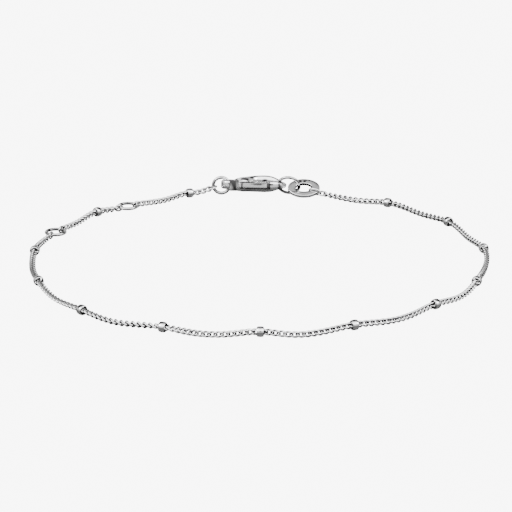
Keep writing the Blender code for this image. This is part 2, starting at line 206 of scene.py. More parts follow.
# %% Soft boxes
SOFT_BOXES = [
    # name, azimuth in degrees from -Y towards +X, elevation, distance in m, width in m, power in W
    ("box_left", -70, 40, 0.7, 0.3, 2),
    ("box_right", 75, 35, 0.7, 0.25, 1.5),
]
for name, azimuth, elevation, distance, width, power in SOFT_BOXES:
    light = bpy.data.lights.new(name, "AREA")
    light.size = width
    light.energy = power
    lamp = bpy.data.objects.new(name, light)
    turn = math.radians(azimuth)
    rise = math.radians(elevation)
    level = math.cos(rise)
    away = Vector((math.sin(turn) * level, -math.cos(turn) * level, math.sin(rise)))
    lamp.location = away * distance
    lamp.rotation_euler = away.to_track_quat("Z", "Y").to_euler()
    bpy.context.scene.collection.objects.link(lamp)
print("soft boxes:", len(SOFT_BOXES))

# %% [markdown]
# ## Two effects of worn silver
# New silver is bright, but under a loupe it carries fine polishing marks, and a thin grey
# film gathers in patches. Both effects could be painted as images. A node group does it
# without any file: noise in the piece's own Object coordinates, with one value for the size
# of the marks. Each group is built once, and each material places it with its own values.

# %% Group for fine polishing marks
def group_input(group, name, value):
    """One number that each material may set for itself."""
    socket = group.interface.new_socket(name, in_out="INPUT", socket_type="NodeSocketFloat")
    socket.default_value = value


polish_marks = bpy.data.node_groups.new("polish_marks", "ShaderNodeTree")
group_input(polish_marks, "Marks per mm", 9.0)
polish_marks.interface.new_socket("Height", in_out="OUTPUT", socket_type="NodeSocketFloat")
polish_marks.interface.new_socket("Dulling", in_out="OUTPUT", socket_type="NodeSocketFloat")

MARK_STRETCH = (1.0, 0.22, 0.6)
MARK_DETAIL = 3
parts = polish_marks.nodes
group_in = parts.new("NodeGroupInput")
group_out = parts.new("NodeGroupOutput")
where = parts.new("ShaderNodeTexCoord")
stretch = parts.new("ShaderNodeMapping")
stretch.inputs["Scale"].default_value = [side / MM for side in MARK_STRETCH]
grain = parts.new("ShaderNodeTexNoise")
grain.inputs["Detail"].default_value = MARK_DETAIL
join = polish_marks.links.new
join(where.outputs["Object"], stretch.inputs["Vector"])
join(stretch.outputs["Vector"], grain.inputs["Vector"])
join(group_in.outputs["Marks per mm"], grain.inputs["Scale"])
join(grain.outputs["Fac"], group_out.inputs["Height"])
join(grain.outputs["Fac"], group_out.inputs["Dulling"])
print("polish marks group has", len(parts), "nodes")

# %% Group for the grey film of tarnish
tarnish_film = bpy.data.node_groups.new("tarnish_film", "ShaderNodeTree")
group_input(tarnish_film, "Patches per mm", 0.6)
tarnish_film.interface.new_socket("Film", in_out="OUTPUT", socket_type="NodeSocketFloat")

FILM_STARTS = 0.48
FILM_FULL = 0.78
FILM_DETAIL = 4
parts = tarnish_film.nodes
group_in = parts.new("NodeGroupInput")
group_out = parts.new("NodeGroupOutput")
where = parts.new("ShaderNodeTexCoord")
to_mm = parts.new("ShaderNodeMapping")
to_mm.inputs["Scale"].default_value = (1 / MM, 1 / MM, 1 / MM)
cloud = parts.new("ShaderNodeTexNoise")
cloud.inputs["Detail"].default_value = FILM_DETAIL
limit = parts.new("ShaderNodeMapRange")
limit.inputs["From Min"].default_value = FILM_STARTS
limit.inputs["From Max"].default_value = FILM_FULL
join = tarnish_film.links.new
join(where.outputs["Object"], to_mm.inputs["Vector"])
join(to_mm.outputs["Vector"], cloud.inputs["Vector"])
join(group_in.outputs["Patches per mm"], cloud.inputs["Scale"])
join(cloud.outputs["Fac"], limit.inputs["Value"])
join(limit.outputs["Result"], group_out.inputs["Film"])
print("tarnish group has", len(parts), "nodes")

# %% [markdown]
# ## Polished silver
# One function makes the silver for every kind of piece. The clasp and the tag are cast and
# polished by hand, the beads are turned, and the chain is drawn wire, so each kind has its
# own roughness, size of marks and share of tarnish. Where shade falls, as on the inner side of
# a link, the colour is painted nearly black, as painted shade. Each shape says where that is:
# a number from 0 to 1 is written on its vertices, and the material darkens its colour by it.

# %% The colour of silver
BRIGHT_SILVER = (0.93, 0.93, 0.935, 1)
FILMED_SILVER = (0.62, 0.61, 0.60, 1)
# painted shade: the near-black colour that marked vertices take, standing in for shade in and
# between parts
PAINTED_SHADE_SILVER = (0.025, 0.025, 0.025, 1)
PAINTED_SHADE = "painted_shade"


def silver_colour(nodes, link, film_share):
    """Bright silver under an uneven film, darkened by painted shade where the vertices are marked.
    """
    film = nodes.new("ShaderNodeGroup")
    film.node_tree = tarnish_film
    share = nodes.new("ShaderNodeMath")
    share.operation = "MULTIPLY"
    share.inputs[1].default_value = film_share
    link(film.outputs["Film"], share.inputs[0])
    colour = nodes.new("ShaderNodeMix")
    colour.data_type = "RGBA"
    colour.inputs["A"].default_value = BRIGHT_SILVER
    colour.inputs["B"].default_value = FILMED_SILVER
    link(share.outputs[0], colour.inputs["Factor"])
    painted_shade = nodes.new("ShaderNodeAttribute")
    painted_shade.attribute_name = PAINTED_SHADE
    darkened = nodes.new("ShaderNodeMix")
    darkened.data_type = "RGBA"
    darkened.inputs["B"].default_value = PAINTED_SHADE_SILVER
    link(painted_shade.outputs["Fac"], darkened.inputs["Factor"])
    link(colour.outputs["Result"], darkened.inputs["A"])
    return darkened.outputs["Result"]


print("a crevice goes down to a grey of", PAINTED_SHADE_SILVER[0])

# %% The silver function
def silver(name, roughness, dulling, marks_per_mm, mark_depth, film_share):
    """A polished silver with fine marks and a thin uneven film; the depth is in mm."""
    material = bpy.data.materials.new(name)
    material.use_nodes = True
    nodes = material.node_tree.nodes
    link = material.node_tree.links.new
    shader = nodes["Principled BSDF"]
    shader.inputs["Metallic"].default_value = 1.0
    link(silver_colour(nodes, link, film_share), shader.inputs["Base Color"])

    marks = nodes.new("ShaderNodeGroup")
    marks.node_tree = polish_marks
    marks.inputs["Marks per mm"].default_value = marks_per_mm
    rough = nodes.new("ShaderNodeMapRange")
    rough.inputs["To Min"].default_value = roughness
    rough.inputs["To Max"].default_value = roughness + dulling
    link(marks.outputs["Dulling"], rough.inputs["Value"])
    link(rough.outputs["Result"], shader.inputs["Roughness"])

    bump = nodes.new("ShaderNodeBump")
    bump.inputs["Strength"].default_value = 1.0
    bump.inputs["Distance"].default_value = mark_depth * MM
    link(marks.outputs["Height"], bump.inputs["Height"])
    link(bump.outputs["Normal"], shader.inputs["Normal"])
    return material


# %% The five silvers
SILVERS = [
    # name, roughness, dulling by marks, marks per mm, depth of a mark in mm, share of film
    ("chain_silver", 0.10, 0.10, 6.0, 0.004, 0.25),
    ("bead_silver", 0.07, 0.08, 5.0, 0.003, 0.20),
    ("ring_silver", 0.08, 0.08, 5.0, 0.004, 0.20),
    ("clasp_silver", 0.11, 0.08, 3.0, 0.005, 0.20),
    ("tag_silver", 0.10, 0.12, 4.0, 0.005, 0.30),
]
chain_silver, bead_silver, ring_silver, clasp_silver, tag_silver = (
    silver(*finish) for finish in SILVERS
)
print("silvers:", [finish[0] for finish in SILVERS])

# %% [markdown]
# ## From a bmesh to a piece
# Every shape is worked out in millimetres in its own simple position: a ring lies flat round
# the origin, a link lies along X. The last step scales it to metres and puts it in its place
# inside the mesh, so that the object itself stays at the origin.

# %% Helpers that finish a piece
SHARP_ANGLE = math.radians(40)


def shade(mesh, sharp=SHARP_ANGLE):
    """Smooth shading that stays crisp where faces meet at a sharper angle."""
    mesh.shade_smooth()
    mesh.set_sharp_from_angle(angle=sharp)


def to_mesh(bm, name):
    """A bmesh in layout millimetres becomes a mesh in the model's metres."""
    bmesh.ops.translate(bm, verts=bm.verts, vec=-LAYOUT_MIDDLE)
    bmesh.ops.scale(bm, verts=bm.verts, vec=(MM, MM, MM))
    bmesh.ops.recalc_face_normals(bm, faces=bm.faces)
    mesh = bpy.data.meshes.new(name)
    bm.to_mesh(mesh)
    bm.free()
    return mesh


def add_piece(name, bm, material, body, nodes, sharp=SHARP_ANGLE):
    """A bmesh becomes a finished piece that rides on a body and stands for CAD nodes."""
    mesh = to_mesh(bm, name)
    mesh.materials.append(material)
    shade(mesh, sharp)
    piece = bpy.data.objects.new(name, mesh)
    bpy.context.scene.collection.objects.link(piece)
    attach(piece, body)
    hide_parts(*nodes)
    return piece


print("edges stay crisp past", round(math.degrees(SHARP_ANGLE)), "degrees")

# %% Helpers that place a piece
def placed(bm, place):
    """Moves the bmesh by a matrix in layout millimetres and hands it back."""
    bmesh.ops.transform(bm, matrix=place, verts=bm.verts)
    return bm


def along(place, heading, up):
    """X follows heading, Z is as near to up as it can be."""
    heading = heading.normalized()
    side = up.cross(heading).normalized()
    matrix = Matrix((heading, side, heading.cross(side))).transposed().to_4x4()
    matrix.translation = place
    return matrix


laid_along_y = along(Vector(), Vector((0, 1, 0)), UP)
print("laid along Y, a link has its X axis at", laid_along_y.col[0].to_3d())

# %% [markdown]
# ## Round wire
# Jump rings and links all start as a length of round wire. A circle of a few sides is set up
# on edge and spun once round the origin, which gives a ring. For an oval or a curb link the
# finished ring is then pulled to its shape: each section of the wire is moved as a whole, so
# that the wire keeps its thickness.

# %% A ring of wire
# how much painted shade the inner and the outer side of a ring get
RING_INNER_DARK = 1.0
RING_OUTER_DARK = 0.5


def paint_shade(bm, depth):
    """Writes on each vertex its share of painted shade, from 0 to 1."""
    layer = bm.verts.layers.float.get(PAINTED_SHADE) or bm.verts.layers.float.new(PAINTED_SHADE)
    for vert in bm.verts:
        vert[layer] = min(1, max(0, depth(vert.co)))


def wire_ring(radius, wire, steps, sides):
    """A ring of round wire, flat in XY."""
    bm = bmesh.new()
    upright = Matrix.Translation((radius, 0, 0)) @ Matrix.Rotation(math.pi / 2, 4, "X")
    section = bmesh.ops.create_circle(bm, segments=sides, radius=wire / 2, matrix=upright)
    rim = list({edge for vert in section["verts"] for edge in vert.link_edges})
    bmesh.ops.spin(
        bm, geom=rim, cent=(0, 0, 0), axis=(0, 0, 1), angle=math.tau, steps=steps, use_merge=True
    )
    bmesh.ops.remove_doubles(bm, verts=bm.verts, dist=wire / 100)

    def depth(place):
        """Painted shade: full on the inner side of the ring, less on the outer side."""
        inward = (radius - place.xy.length) / (wire / 2)
        return RING_INNER_DARK * inward if inward > 0 else -RING_OUTER_DARK * inward

    paint_shade(bm, depth)
    return bm


print("a ring's inner side is dark by", RING_INNER_DARK, "and its outer side by", RING_OUTER_DARK)

# %% The same ring pulled to an oval link
# how much painted shade the inner side of a link and its ends get
LINK_INNER_DARK = 1.0
LINK_END_DARK = 0.50


def wire_link(half_length, half_width, twist, wire, steps, sides):
    """An oval link along X; twist lifts its corners out of the plane, as a curb link's are."""
    radius = max(half_length, half_width)
    bm = wire_ring(radius, wire, steps, sides)
    for vert in bm.verts:
        turn = math.atan2(vert.co.y, vert.co.x)
        vert.co.x += (half_length - radius) * math.cos(turn)
        vert.co.y += (half_width - radius) * math.sin(turn)
        vert.co.z += twist * math.sin(2 * turn)

    def depth(place):
        """Painted shade on the inner side of the wire and at the ends, where one link meets the
        next.
        """
        turn = math.atan2(place.y / half_width, place.x / half_length)
        cosine = math.cos(turn)
        sine = math.sin(turn)
        middle = Vector((half_length * cosine, half_width * sine, twist * math.sin(2 * turn)))
        inner = (middle - place).dot(Vector((cosine, sine, 0))) / (wire / 2)
        return LINK_INNER_DARK * max(0, inner) + LINK_END_DARK * cosine**2

    paint_shade(bm, depth)
    return bm


print("a link's inner side is dark by", LINK_INNER_DARK, "and its ends by", LINK_END_DARK)

# %% [markdown]
# ## The way of the chain
# The chain lies in a loose loop: it bulges where a link is stiff, and it rises a little at
# every bead, which is thicker than the chain. A list gives the places of the
# beads and rings and a few points between them. A natural cubic curve, as a thin steel rule
# would take, joins them.

# %% Points of the route
ROUTE = [
    # what lies there, x, y, height of the chain's middle
    ("clasp_ring", -5.82, 26.45, 1.10),
    ("chain", -6.8, 26.15, 0.82),
    ("chain", -7.9, 25.7, 0.62),
    ("bead", -9.1, 25.2, 0.66),
    ("chain", -12.1, 22.9, 0.45),
    ("chain", -15.4, 20.9, 0.50),
    ("size_ring", -17.3, 19.6, 0.54),
    ("chain", -19.4, 18.2, 0.52),
    ("bead", -21.2, 16.7, 0.66),
    ("chain", -23.6, 12.6, 0.45),
    ("chain", -25.3, 9.9, 0.50),
    ("size_ring", -26.2, 8.2, 0.56),
    ("chain", -27.2, 5.6, 0.50),
    ("bead", -28.3, 0.3, 0.66),
    ("chain", -28.3, -3.4, 0.49),
    ("chain", -27.9, -7.4, 0.49),
    ("bead", -26.9, -11.6, 0.66),
    ("chain", -24.2, -18.0, 0.45),
    ("bead", -20.9, -22.3, 0.66),
    ("chain", -16.9, -25.9, 0.45),
    ("bead", -11.0, -28.3, 0.66),
    ("chain", -7.4, -29.8, 0.49),
    ("chain", -3.4, -30.3, 0.49),
    ("bead", 0.5, -29.9, 0.66),
    ("chain", 4.0, -30.4, 0.49),
    ("chain", 8.0, -29.4, 0.49),
    ("bead", 11.6, -27.6, 0.66),
    ("chain", 15.8, -25.8, 0.49),
    ("chain", 19.0, -23.2, 0.49),
    ("bead", 21.7, -20.2, 0.66),
    ("chain", 24.4, -17.6, 0.45),
    ("bead", 27.3, -11.7, 0.66),
    ("chain", 28.9, -5.4, 0.45),
    ("bead", 29.2, 1.2, 0.66),
    ("chain", 27.7, 6.0, 0.45),
    ("bead", 25.4, 12.4, 0.66),
    ("chain", 22.1, 16.4, 0.45),
    ("bead", 17.8, 20.8, 0.66),
    ("chain", 14.6, 22.2, 0.45),
    ("chain", 11.4, 23.8, 0.48),
    ("chain", 9.9, 24.6, 0.57),
    ("tag_link", 8.83, 25.05, 0.69),
]
print("route points:", len(ROUTE))

# %% The smooth curve through them
ROUTE_SPACING = 0.05


def smooth_route(points, spacing):
    """Closely spaced places on the natural cubic curve through the points."""
    points = np.array(points, dtype=float)
    gaps = np.linalg.norm(np.diff(points, axis=0), axis=1)
    knots = np.concatenate([[0.0], np.cumsum(gaps)])
    count = len(points)
    system = np.zeros((count, count))
    slopes = np.zeros_like(points)
    system[0, 0] = system[-1, -1] = 1.0
    for i in range(1, count - 1):
        system[i, i - 1 : i + 2] = gaps[i - 1], 2 * (gaps[i - 1] + gaps[i]), gaps[i]
        slope_after = (points[i + 1] - points[i]) / gaps[i]
        slope_before = (points[i] - points[i - 1]) / gaps[i - 1]
        slopes[i] = 6 * (slope_after - slope_before)
    bends = np.linalg.solve(system, slopes)
    travel = np.arange(0.0, knots[-1], spacing)
    piece = np.clip(np.searchsorted(knots, travel, side="right") - 1, 0, count - 2)
    gap = gaps[piece][:, None]
    after = (travel - knots[piece])[:, None]
    before = gap - after
    curve = (bends[piece] * before**3 + bends[piece + 1] * after**3) / (6 * gap)
    curve += (points[piece] / gap - bends[piece] * gap / 6) * before
    curve += (points[piece + 1] / gap - bends[piece + 1] * gap / 6) * after
    return curve


places = smooth_route([row[1:] for row in ROUTE], ROUTE_SPACING)
travelled = np.concatenate([[0.0], np.cumsum(np.linalg.norm(np.diff(places, axis=0), axis=1))])
print("the chain's way is", round(travelled[-1], 1), "mm long")

# %% Reading the route by the length travelled
HEADING_REACH = 0.1


def at(travel):
    """The point of the route after so many millimetres."""
    return Vector([np.interp(travel, travelled, places[:, axis]) for axis in range(3)])


def heading_at(travel):
    """The direction of the route at that point."""
    return (at(travel + HEADING_REACH) - at(travel - HEADING_REACH)).normalized()


def nearest(point):
    """The length travelled where the route passes closest to a point."""
    return float(travelled[np.argmin(np.linalg.norm(places - np.array(point), axis=1))])


def stops_of(what):
    """The lengths travelled at which things of one kind lie."""
    return [nearest(row[1:]) for row in ROUTE if row[0] == what]


bead_stops = stops_of("bead")
size_stops = stops_of("size_ring")
print("beads:", len(bead_stops), "size rings:", len(size_stops))

# %% [markdown]
# ## Beads
# Each bead is a short turned barrel with a drilled hole. Its half profile is a closed line of
# a few points, spun about the chain's line. One level of subdivision then gives the soft,
# tumbled look of a silver bead, and the narrow lip at each end keeps the edge of the hole.
# The wall of the hole is painted dark, as painted shade.

# %% The profile of a bead
BEAD_RADIUS = 0.66
BEAD_HALF_LENGTH = 0.43
BEAD_PROFILE = [
    # along the bead and out from its axis, as shares of half length and radius
    (-0.80, 0.72),
    (-0.94, 0.74),
    (-1.00, 0.79),
    (-0.94, 0.88),
    (-0.62, 0.98),
    (0.00, 1.00),
    (0.62, 0.98),
    (0.94, 0.88),
    (1.00, 0.79),
    (0.94, 0.74),
    (0.80, 0.72),
]
BEAD_STEPS = 24
LIP_RADIUS = 0.55
LIP_FADE = 0.05
MERGE_DISTANCE = 0.001


def bead():
    """The profile spun about X, with painted shade inside the lip."""
    bm = bmesh.new()
    corners = [bm.verts.new((x * BEAD_HALF_LENGTH, 0, r * BEAD_RADIUS)) for x, r in BEAD_PROFILE]
    edges = [bm.edges.new((corners[i - 1], corners[i])) for i in range(len(corners))]
    bmesh.ops.spin(
        bm, geom=edges, cent=(0, 0, 0), axis=(1, 0, 0),
        angle=math.tau, steps=BEAD_STEPS, use_merge=True,
    )
    bmesh.ops.remove_doubles(bm, verts=bm.verts, dist=MERGE_DISTANCE)
    # painted shade on the wall of the hole, inside the lip
    paint_shade(bm, lambda place: (LIP_RADIUS - place.yz.length) / LIP_FADE)
    return bm


print("a bead is", 2 * BEAD_RADIUS, "mm thick and", 2 * BEAD_HALF_LENGTH, "mm long")

# %% Spin the beads
BEAD_SMOOTHING = 1
for number, travel in enumerate(bead_stops, start=1):
    shape = placed(bead(), along(at(travel), heading_at(travel), UP))
    piece = add_piece(
        f"round_bead_{number:02d}", shape, bead_silver, "bracelet", [f"bead_{number:02d}"]
    )
    smoothing = piece.modifiers.new("smooth", "SUBSURF")
    smoothing.levels = BEAD_SMOOTHING
    smoothing.render_levels = BEAD_SMOOTHING
print("beads made:", len(bead_stops))

# %% [markdown]
# ## Jump rings
# The ring in the clasp's eye stands upright, the ring that joins the clasp to the tag leans
# over, and the two size rings lie flat in the chain. All are plain rings of heavier wire.

# %% Make the jump rings
RING_STEPS = 64
RING_SIDES = 16
CLASP_RING_MIDDLE = Vector((-4.74, 26.45, 1.38))
CLASP_RING_RADIUS = 1.12
CLASP_RING_WIRE = 0.46
TAG_RING_MIDDLE = Vector((4.48, 25.90, 1.57))
TAG_RING_RADIUS = 1.45
TAG_RING_WIRE = 0.42
TAG_RING_LEAN = math.radians(-62.8)
TAG_RING_TURN = math.radians(-6)
SIZE_RING_RADIUS = 1.24
SIZE_RING_WIRE = 0.42

upright = Matrix.Translation(CLASP_RING_MIDDLE) @ Matrix.Rotation(math.pi / 2, 4, "X")
ring = placed(wire_ring(CLASP_RING_RADIUS, CLASP_RING_WIRE, RING_STEPS, RING_SIDES), upright)
add_piece("eye_jump_ring", ring, ring_silver, "bracelet", ["clasp_ring"])

leaning = Matrix.Rotation(TAG_RING_TURN, 4, "Z") @ Matrix.Rotation(TAG_RING_LEAN, 4, "X")
leaning = Matrix.Translation(TAG_RING_MIDDLE) @ leaning
ring = placed(wire_ring(TAG_RING_RADIUS, TAG_RING_WIRE, RING_STEPS, RING_SIDES), leaning)
add_piece("tag_jump_ring", ring, ring_silver, "bracelet", ["tag_ring"])

for number, travel in enumerate(size_stops, start=1):
    flat = along(at(travel), heading_at(travel), UP)
    ring = placed(wire_ring(SIZE_RING_RADIUS, SIZE_RING_WIRE, RING_STEPS, RING_SIDES), flat)
    add_piece(
        f"flat_size_ring_{number}", ring, ring_silver, "bracelet", [f"size_ring_{number}"]
    )
print("jump rings made:", 2 + len(size_stops))

# %% [markdown]
# ## Cutting and joining
# A founder cuts the wax and a jeweller files and drills the metal. Faces could be deleted and
# sewn by hand, but a Boolean modifier cuts one solid with another and keeps both closed. Each
# tool is a mesh that is made in its place, used once and thrown away.

# %% Helpers for cutting and joining
def as_tool(bm, name, place):
    """An object for one Boolean, already in its place."""
    tool = bpy.data.objects.new(name, to_mesh(placed(bm, place), name))
    bpy.context.scene.collection.objects.link(tool)
    return tool


def apply_modifiers(piece):
    """Bakes the modifiers into the mesh, so that no tool has to stay in the scene."""
    bpy.context.view_layer.update()
    evaluated = piece.evaluated_get(bpy.context.evaluated_depsgraph_get())
    mesh = bpy.data.meshes.new_from_object(evaluated)
    piece.modifiers.clear()
    piece.data = mesh


def boolean(piece, tool, operation):
    """Cuts or joins the piece with the tool, which is then thrown away."""
    modifier = piece.modifiers.new(tool.name, "BOOLEAN")
    modifier.operation = operation
    modifier.object = tool
    apply_modifiers(piece)
    bpy.data.objects.remove(tool)


print("helpers ready: as_tool, apply_modifiers and boolean")

# %% [markdown]
# ## The oval tag
# The tag is stamped from sheet: an oval plate with an oval opening and soft edges. It is made
# as a flat ring of faces, raised to its thickness and bevelled. The wall of the opening is
# painted dark, as painted shade. Where a maker would strike marks, three plain round punch
# dots are pressed into the rim: small balls sunk in it and cut away, with painted shade inside.

# %% The plate of the tag
TAG_HALF_LENGTH = 2.2
TAG_HALF_HEIGHT = 1.65
TAG_HOLE_HALF_LENGTH = 1.1
TAG_HOLE_HALF_HEIGHT = 0.8
TAG_THICKNESS = 0.5
TAG_EDGE_ROUND = 0.08
TAG_STEPS = 72
PLAIN_INNER_RADIUS = 1
PLAIN_OUTER_RADIUS = 2
# an edge is a rim where its faces meet at more than this, in radians
RIM_ANGLE = 1.2
HOLE_WALL_REACH = 1.02
EDGE_SEGMENTS = 4


def on_hole_wall(place):
    """Painted shade: 1 on the wall of the opening, 0 elsewhere."""
    share = math.hypot(place.x / TAG_HOLE_HALF_LENGTH, place.y / TAG_HOLE_HALF_HEIGHT)
    return 1 if share < HOLE_WALL_REACH else 0


def oval_plate():
    """A circle spun from one short radial line, pulled to the oval and its oval hole."""
    bm = bmesh.new()
    inner = bm.verts.new((PLAIN_INNER_RADIUS, 0, -TAG_THICKNESS / 2))
    outer = bm.verts.new((PLAIN_OUTER_RADIUS, 0, -TAG_THICKNESS / 2))
    line = bm.edges.new((inner, outer))
    bmesh.ops.spin(
        bm, geom=[line], cent=(0, 0, 0), axis=(0, 0, 1),
        angle=math.tau, steps=TAG_STEPS, use_merge=True,
    )
    bmesh.ops.remove_doubles(bm, verts=bm.verts, dist=MERGE_DISTANCE)
    between = (PLAIN_INNER_RADIUS + PLAIN_OUTER_RADIUS) / 2
    for vert in bm.verts:
        turn = math.atan2(vert.co.y, vert.co.x)
        on_hole = vert.co.xy.length < between
        half_length = TAG_HOLE_HALF_LENGTH if on_hole else TAG_HALF_LENGTH
        half_height = TAG_HOLE_HALF_HEIGHT if on_hole else TAG_HALF_HEIGHT
        vert.co.x = half_length * math.cos(turn)
        vert.co.y = half_height * math.sin(turn)
    raised = bmesh.ops.extrude_face_region(bm, geom=list(bm.faces))
    top = [item for item in raised["geom"] if isinstance(item, bmesh.types.BMVert)]
    bmesh.ops.translate(bm, verts=top, vec=(0, 0, TAG_THICKNESS))
    bmesh.ops.recalc_face_normals(bm, faces=bm.faces)
    rims = [edge for edge in bm.edges if edge.is_manifold and edge.calc_face_angle() > RIM_ANGLE]
    bmesh.ops.bevel(
        bm, geom=rims, offset=TAG_EDGE_ROUND, segments=EDGE_SEGMENTS,
        profile=0.5, affect="EDGES", material=-1,
    )
    paint_shade(bm, on_hole_wall)
    return bm


print("the tag is", 2 * TAG_HALF_LENGTH, "by", 2 * TAG_HALF_HEIGHT, "mm")

# %% Lay the tag in its place
TAG_LEAN = math.radians(27.3)
TAG_MIDDLE = Vector((6.55, 25.87, 1.11))
tag_frame = Matrix.Translation(TAG_MIDDLE) @ Matrix.Rotation(TAG_LEAN, 4, "X")
tag = add_piece(
    "open_oval_tag", placed(oval_plate(), tag_frame), tag_silver, "bracelet", ["oval_tag"]
)
print("the tag leans by", round(math.degrees(TAG_LEAN), 1), "degrees")

# %% Punch the dots
DOT_RADIUS = 0.22
DOT_DEPTH = 0.09
DOT_FINENESS = 2
DOT_SHADE_REACH = 1.03
# degrees round the rim from the tag's right end
DOT_TURNS = (127, 106, 85)
rim_half_length = (TAG_HALF_LENGTH + TAG_HOLE_HALF_LENGTH) / 2
rim_half_height = (TAG_HALF_HEIGHT + TAG_HOLE_HALF_HEIGHT) / 2
for degrees in DOT_TURNS:
    turn = math.radians(degrees)
    height = TAG_THICKNESS / 2 + DOT_RADIUS - DOT_DEPTH
    middle = Vector((rim_half_length * math.cos(turn), rim_half_height * math.sin(turn), height))
    ball = bmesh.new()
    bmesh.ops.create_icosphere(
        ball, subdivisions=DOT_FINENESS, radius=DOT_RADIUS, matrix=Matrix.Translation(middle)
    )
    boolean(tag, as_tool(ball, "punch", tag_frame), "DIFFERENCE")
    # painted shade inside each punch dot
    in_layout = tag_frame @ middle
    for vert, mark in zip(tag.data.vertices, tag.data.attributes[PAINTED_SHADE].data):
        if (vert.co / MM + LAYOUT_MIDDLE - in_layout).length < DOT_RADIUS * DOT_SHADE_REACH:
            mark.value = 1
shade(tag.data)
print("tag faces:", len(tag.data.polygons), "with", len(DOT_TURNS), "punch dots")

# %% The link through the tag's hole
TAG_LINK_WIRE = 0.28
TAG_LINK_HALF_LENGTH = 0.80
TAG_LINK_HALF_WIDTH = 0.48
TAG_LINK_OUT = 1.66
TAG_LINK_TURN = math.radians(-22)
TAG_LINK_STEPS = 40
TAG_LINK_SIDES = 12

outward = Vector((math.cos(TAG_LINK_TURN), math.sin(TAG_LINK_TURN), 0))
direction = tag_frame.to_3x3() @ outward
normal = tag_frame.to_3x3() @ UP
tag_link_place = along(tag_frame @ (outward * TAG_LINK_OUT), direction, normal.cross(direction))
link = wire_link(
    TAG_LINK_HALF_LENGTH, TAG_LINK_HALF_WIDTH, 0, TAG_LINK_WIRE, TAG_LINK_STEPS, TAG_LINK_SIDES
)
placed(link, tag_link_place)
add_piece("long_tag_link", link, ring_silver, "bracelet", ["tag_link"])
print("tag link centre in mm:", [round(value, 2) for value in tag_link_place.translation])

# %% [markdown]
# ## End links
# Each stretch of chain hangs on its rings by a slightly larger plain link. It holds the
# ring's wire at one end, and the first curb link passes through its other end.

# %% Where the end links hang
END_LINK_WIRE = 0.25
END_LINK_HALF_LENGTH = 0.55
END_LINK_HALF_WIDTH = 0.39
HOOK_CLEARANCE = 0.05
LINK_LOOK_AHEAD = 1.1
RING_LOOK_AHEAD = 2.2


def hooked_link(wire_middle, wire, travel, look, up):
    """The place of an end link that hangs on a wire and points along the route."""
    way = (at(travel + look) - wire_middle).normalized()
    reach = END_LINK_HALF_LENGTH - END_LINK_WIRE / 2 - wire / 2 - HOOK_CLEARANCE
    return along(wire_middle + way * reach, way, up)


# each strand of chain runs from its first end link's place to its last one's
strands = []
first = hooked_link(at(0.0), CLASP_RING_WIRE, 0.0, LINK_LOOK_AHEAD, UP)
for stop in size_stops:
    hooked = []
    for look in (-RING_LOOK_AHEAD, RING_LOOK_AHEAD):
        way = (at(stop + look) - at(stop)).normalized()
        wire_middle = at(stop) + way * SIZE_RING_RADIUS
        hooked.append(hooked_link(wire_middle, SIZE_RING_WIRE, stop, look, UP.cross(way)))
    strands.append((first, hooked[0]))
    first = hooked[1]
wire_middle = tag_link_place @ Vector((TAG_LINK_HALF_LENGTH, 0, 0))
side = tag_link_place.col[1].to_3d()
last = hooked_link(wire_middle, TAG_LINK_WIRE, travelled[-1], -LINK_LOOK_AHEAD, side)
strands.append((first, last))
print("strands of chain:", len(strands))

# %% Hook the end links on the rings
END_LINK_STEPS = 28
END_LINK_SIDES = 10
end_places = [place for strand in strands for place in strand]
for number, place in enumerate(end_places, start=1):
    link = wire_link(
        END_LINK_HALF_LENGTH, END_LINK_HALF_WIDTH, 0, END_LINK_WIRE, END_LINK_STEPS, END_LINK_SIDES
    )
    placed(link, place)
    add_piece(
        f"plain_end_link_{number}", link, chain_silver, "bracelet", [f"end_link_{number}"]
    )
print("end links made:", len(end_places))

# %% [markdown]
# ## Curb chain
# A curb link is an oval whose two sides are twisted out of its plane, so that every link
# passes through its neighbours and yet all lie flat in one ribbon. One small link is made,
# and a copy is placed every pitch along the route. The ribbon also rolls slowly about its
# own line, as a real chain does when it is laid down. At each end it is rolled so that its
# last wire runs square through the end link.

# %% The curb link and the roll of its ribbon
CURB_WIRE = 0.29
CURB_HALF_LENGTH = 0.54
CURB_HALF_WIDTH = 0.28
CURB_TWIST = 0.22
CURB_PITCH = 0.748
CURB_STEPS = 16
CURB_SIDES = 6
WIRE_GAP = 0.01
END_WIRE_ANGLE = math.degrees(math.atan2(2 * CURB_TWIST, CURB_HALF_WIDTH))

ROLLS = [
    # for each stretch, the ribbon's roll in degrees at even steps along it
    (END_WIRE_ANGLE + 90, 105, 85, 85, 95, 180 - END_WIRE_ANGLE),
    (END_WIRE_ANGLE, 85, 85, 90, 180 - END_WIRE_ANGLE),
    (
        END_WIRE_ANGLE, 130, 145, 148, 148, 138, 142, 245, 268, 230, 225,
        228, 235, 252, 272, 272, 258, 236, 240, 275, 270 - END_WIRE_ANGLE,
    ),
]


def curb_template():
    """One link as a mesh, ready to be copied many times."""
    bm = wire_link(
        CURB_HALF_LENGTH, CURB_HALF_WIDTH, CURB_TWIST, CURB_WIRE, CURB_STEPS, CURB_SIDES
    )
    mesh = bpy.data.meshes.new("curb_link")
    bm.to_mesh(mesh)
    bm.free()
    return mesh


def add_copy(bm, mesh, place):
    """Adds the mesh to the bmesh and moves only the new vertices."""
    before = len(bm.verts)
    bm.from_mesh(mesh)
    bm.verts.ensure_lookup_table()
    bmesh.ops.transform(bm, matrix=place, verts=bm.verts[before:])


template = curb_template()
print("a curb link has", len(template.polygons), "faces")

